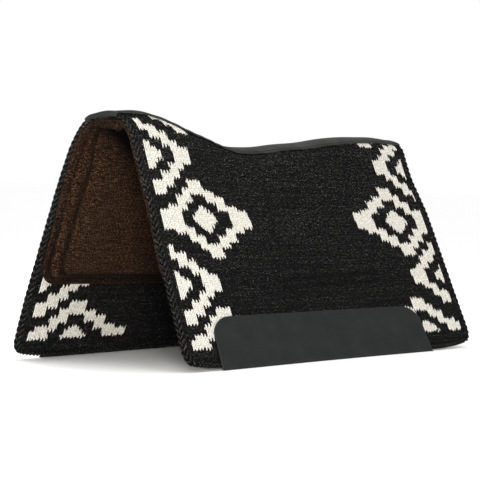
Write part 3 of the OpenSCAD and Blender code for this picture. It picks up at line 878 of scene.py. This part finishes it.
# ---- Wear leathers ----
def wear_leather(side_name):
    u0, u1 = LEATHER_FRONT, PAD_LENGTH - LEATHER_REAR
    us = spread(u0, u1, LEATHER_CORNER[0], 6)
    rise = np.concatenate([np.linspace(0, 0.94, 12), [0.965, 0.985, 0.995, 1.0]])
    top = leather_top(us, 0)[:, None]
    u = np.repeat(us[:, None], len(rise), 1)
    slope = section(u)[3]
    faces = []
    for t_flat in (LEATHER_MIDDLE - LEATHER_HALF, LEATHER_MIDDLE + LEATHER_HALF):
        ground = t_flat / np.tan(slope)
        s = ground + (top - ground) * rise
        faces.append(np.stack([u, s, np.full(u.shape, t_flat)], -1))
    outer, inner = faces
    d = np.minimum(end_distance(u, u0, u1), top - outer[..., 1])
    rim = 0.3 + 0.7 * np.sqrt(1 - (1 - np.clip(d / 1.3, 0, 1)) ** 2)
    groove = 0.35 * np.exp(-((d - LEATHER_STITCH_IN) / 0.9) ** 2)
    lift = smooth(outer[..., 1] / 60) * (0.35 + 0.35 * np.sin(u / 13) * np.sin(u / 47 + 1))
    lift = lift * smooth(1 - (d - LEATHER_STITCH_IN) / 20)
    outer[..., 2] = LEATHER_MIDDLE - LEATHER_HALF * rim + groove - lift
    inner[..., 2] = LEATHER_MIDDLE + LEATHER_HALF * rim - lift
    for face in faces:
        face[..., 0] = slanted(face[..., 0], face[..., 1])
    pile = Pile()
    slab(pile, SIDES[side_name], outer, inner)
    return finished(pile, f"wear_leather_cover_{side_name}", "wear_leather", f"wear_leather_{side_name}")


# ---- Liner ----
def inside_outline(u, s, u0, u1, low, top, r):
    """(distance from the rounded lower outline, distance below the top edge)."""
    dx, dy = end_distance(u, u0, u1), np.maximum(0, s - low)
    in_corner = (dx < r) & (dy < r)
    rounded = r - np.hypot(r - np.minimum(dx, r), r - np.minimum(dy, r))
    return np.where(in_corner, np.maximum(rounded, 0), np.minimum(dx, dy)), np.maximum(0, top - s)


def liner_grid(level, step, lead=0.0):
    """Places over one liner layer, as (u, s) grids, with the distances from its outline and its top.

    Its ends come forward by the lead at the top.
    """
    u0, r, low = LINER_INSETS[level], LINER_CORNERS[level], LINER_LOWS[level]
    u1 = PAD_LENGTH - u0
    us = spread(u0, u1, r, step)
    top = layer_top(level, us)
    base = low + corner_inset(end_distance(us, u0, u1), r)
    fine = (1 - np.cos(np.linspace(0, math.pi / 2, 6)))[:-1] * 0.06
    rows = np.concatenate([fine, np.linspace(0.06, 0.94, int(230 / step)), (1 - fine)[::-1]])[None]
    s = base[:, None] + (top - base)[:, None] * rows
    u = np.repeat(us[:, None], s.shape[1], 1)
    d, below = inside_outline(u, s, u0, u1, low, top[:, None], r)
    forward = lead * np.exp(-(end_distance(u, u0, u1) / 12) ** 2) * smooth((s - 170) / 120)
    return u + forward * np.sign(u - PAD_LENGTH / 2), s, d, below


def upper(s):
    """0 on the lower part of the liner and 1 on its upper part, where its seams soften into the felt."""
    return smooth((s - 150) / 90)


def rounded_rim(d, width):
    return np.sqrt(1 - (1 - np.clip(d / width, 0, 1)) ** 2)


def felt_base(side_name):
    u, s, d, below = liner_grid(0, 7.0, LINER_LEAD if side_name == "off" else 0.0)
    rim = 0.25 + 0.75 * rounded_rim(np.minimum(d, below), 3.0)
    groove = 0.9 * np.exp(-((d - 4.5) / 1.1) ** 2) * (1 - upper(s))
    lumps = 0.35 * np.sin(u / 11 + s / 17) * np.sin(s / 13 - u / 29)
    middle, half = (FELT_OUT + FELT_IN) / 2, (FELT_IN - FELT_OUT) / 2
    pile = Pile()
    outer = np.stack([u, s, middle - half * rim], -1)
    inner = np.stack([u, s, middle + half * rim - groove + lumps * rim], -1)
    slab(pile, SIDES[side_name], outer, inner)
    return finished(pile, f"felt_liner_{side_name}", "felt", f"felt_base_{side_name}")


def swollen(obj, held, cap):
    """Swells a padded mesh by cloth simulation round its held points, none by more than the cap in mm."""
    scene = bpy.context.scene
    group = obj.vertex_groups.new(name="held")
    group.add(np.flatnonzero(held).tolist(), 1.0, "REPLACE")
    cloth = obj.modifiers.new("swell", "CLOTH")
    cloth.settings.use_pressure = True
    cloth.settings.uniform_pressure_force = 4
    cloth.settings.vertex_group_mass = "held"
    cloth.settings.effector_weights.gravity = 0
    cloth.settings.quality = 4
    cloth.point_cache.frame_end = 20
    for step in range(1, 21):
        scene.frame_set(step)
    shaped = obj.evaluated_get(bpy.context.evaluated_depsgraph_get()).data
    rest, moved = np.empty(len(obj.data.vertices) * 3), np.empty(len(obj.data.vertices) * 3)
    obj.data.vertices.foreach_get("co", rest)
    shaped.vertices.foreach_get("co", moved)
    shift = (moved - rest).reshape(-1, 3)
    far = np.linalg.norm(shift, axis=1)[:, None]
    limit = cap * MM
    shift *= limit * np.tanh(far / limit) / np.maximum(far, 1e-12)
    obj.modifiers.remove(cloth)
    obj.vertex_groups.remove(group)
    obj.data.vertices.foreach_set("co", rest + shift.ravel())
    obj.data.update()
    scene.frame_set(1)


def mirrored(obj, name):
    """A copy of an off-side piece for the near side."""
    other = bpy.data.objects.new(name, obj.data.copy())
    bpy.context.scene.collection.objects.link(other)
    other.data.transform(Matrix.Scale(-1, 4, (0, 1, 0)))
    other.data.flip_normals()
    return other


def layer_top(level, u):
    """Top edge of a liner layer, up the drop."""
    return section(u)[5] - FELT_GAP if level == 0 else section(u)[4] - PANEL_BELOW_ARCH[level]


def layer_rise(level, u, s):
    """How far a padded layer stands off the layer below it: rounded at its rim, and faded out at its top."""
    u0, low, r = LINER_INSETS[level], LINER_LOWS[level], LINER_CORNERS[level]
    d, below = inside_outline(u, s, u0, PAD_LENGTH - u0, low, layer_top(level, u), r)
    rim = PANEL_RIM[level] + RIM_SOFTER * upper(s)
    rounded = rounded_rim(d, rim) * (1 - upper(s)) + smooth(d / rim) * upper(s)
    return PANEL_RISE[level] * rounded * smooth(below / PANEL_FADE)


def padded_panel(kind, level, material):
    """Both sides of one padded liner layer: swelled on the off side, then mirrored."""
    u, s, d, below = liner_grid(level, 5.0)
    bed = FELT_IN + 0.5 + (layer_rise(1, u, s) + 0.6 if level == 2 else 0 * u)
    outer = np.stack([u, s, bed], -1)
    inner = np.stack([u, s, bed + np.maximum(layer_rise(level, u, s), 0.35)], -1)
    pile = Pile()
    slab(pile, OFF, outer, inner)
    node = f"{kind}_panel"
    off = finished(pile, f"padded_{kind}_off", material, f"{node}_off")
    held = np.minimum(d, below) < 0.3
    if level == 1:
        held = held | (layer_rise(2, u, s) > 0)
    swollen(off, np.concatenate([np.ones(u.size, bool), held.ravel()]), SWELL_CAP)
    near = mirrored(off, f"padded_{kind}_near")
    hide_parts(f"{node}_near")
    return [near, off]


# ---- Everything on the object ----
BODIES = {"near": "near_side", "off": "off_side"}


def bend(obj):
    """Bakes the piece's placement into its mesh."""
    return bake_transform(obj)


blankets, liners = {}, {}
for name in SIDES:
    blankets[name] = bend(blanket_half(name))
    trims = [bend(edge_cord(name, end)) for end in ("front", "rear")]
    trims.append(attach(bottom_hem(name), BODIES[name]))
    liners[name] = bend(felt_base(name))
    flange = bend(liner_stitching(name))
    for piece in (wear_leather(name), leather_stitching(name)):
        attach(piece, BODIES[name])
for piece in (spine_strip(), spine_stitching(), spine_webbing(), felt_ridge()):
    bend(piece)
for kind, level, material in (("cushion", 1, "felt"), ("contact", 2, "contact_felt")):
    for piece in padded_panel(kind, level, material):
        bend(piece)


# ---- Floor, light and camera ----
AMBIENT = 0.5   # light from all round. The backdrop itself is white.
FLOOR_R = 40.0  # in metres


def studio():
    floor_mesh = bpy.data.meshes.new("floor")
    turns = np.linspace(0, 2 * math.pi, 64, endpoint=False)
    around = [(FLOOR_R * math.cos(a), FLOOR_R * math.sin(a), 0) for a in turns]
    floor_mesh.from_pydata(around, [], [list(range(len(around)))])
    floor = bpy.data.objects.new("floor", floor_mesh)
    bpy.context.scene.collection.objects.link(floor)
    pale = bpy.data.materials.new("floor_pale")
    pale.use_nodes = True
    surface = pale.node_tree.nodes["Principled BSDF"]
    surface.inputs["Base Color"].default_value = grey(0.95)
    surface.inputs["Roughness"].default_value = 0.9
    surface.inputs["Specular IOR Level"].default_value = 0.1
    floor_mesh.materials.append(pale)
    world = bpy.data.worlds.new("studio")
    world.use_nodes = True
    backing = world.node_tree.nodes["Background"]
    backing.inputs["Color"].default_value = grey(1.0)
    seen = world.node_tree.nodes.new("ShaderNodeLightPath").outputs["Is Camera Ray"]
    strength = world.node_tree.nodes.new("ShaderNodeMapRange")
    world.node_tree.links.new(seen, strength.inputs[0])
    strength.inputs[3].default_value = AMBIENT
    strength.inputs[4].default_value = 1.0
    world.node_tree.links.new(strength.outputs[0], backing.inputs["Strength"])
    bpy.context.scene.world = world


def area_light(name, place, target, size, power, tint=(1, 1, 1)):
    data = bpy.data.lights.new(name, "AREA")
    data.shape = "DISK"
    data.size = size
    data.energy = power
    data.color = tint
    light = bpy.data.objects.new(name, data)
    bpy.context.scene.collection.objects.link(light)
    light.location = place
    light.rotation_euler = (Vector(target) - Vector(place)).to_track_quat("-Z", "Y").to_euler()


def overhead_light(strength):
    """Wide soft light from straight above, even over the whole floor."""
    data = bpy.data.lights.new("overhead", "SUN")
    data.energy = strength
    data.angle = math.radians(70)
    light = bpy.data.objects.new("overhead", data)
    bpy.context.scene.collection.objects.link(light)


def photo_camera():
    """A long lens from the front on the near side, just below the ridge, as the photograph was taken."""
    yaw, pitch, roll = (math.radians(a) for a in (58.63, -1.49, 1.44))
    ahead = Vector((math.sin(yaw) * math.cos(pitch), math.cos(yaw) * math.cos(pitch), math.sin(pitch)))
    level = Vector((math.cos(yaw), -math.sin(yaw), 0))
    up = level.cross(ahead)
    right = math.cos(roll) * level + math.sin(roll) * up
    up = right.cross(ahead)
    data = bpy.data.cameras.new("photo_camera")
    data.lens = 193.6
    data.clip_end = 200
    camera = bpy.data.objects.new("photo_camera", data)
    bpy.context.scene.collection.objects.link(camera)
    turned = Matrix((right, up, -ahead)).transposed().to_4x4()
    camera.matrix_world = Matrix.Translation((-3.2943, -1.9817, 0.2679)) @ turned
    bpy.context.scene.camera = camera


studio()
overhead_light(1.75)
area_light("key", (-3.5, -1.8, 1.8), (-0.3, 0, 0.25), 0.8, 15)
area_light("back", (1.6, 3.4, 1.3), (0, 0, 0.2), 1.4, 90)
area_light("front", (-3.75, -2.35, 0.35), (-0.2, 0, 0.2), 1.4, 350, (1, 0.975, 0.92))
bpy.context.scene.view_settings.view_transform = "Standard"
photo_camera()
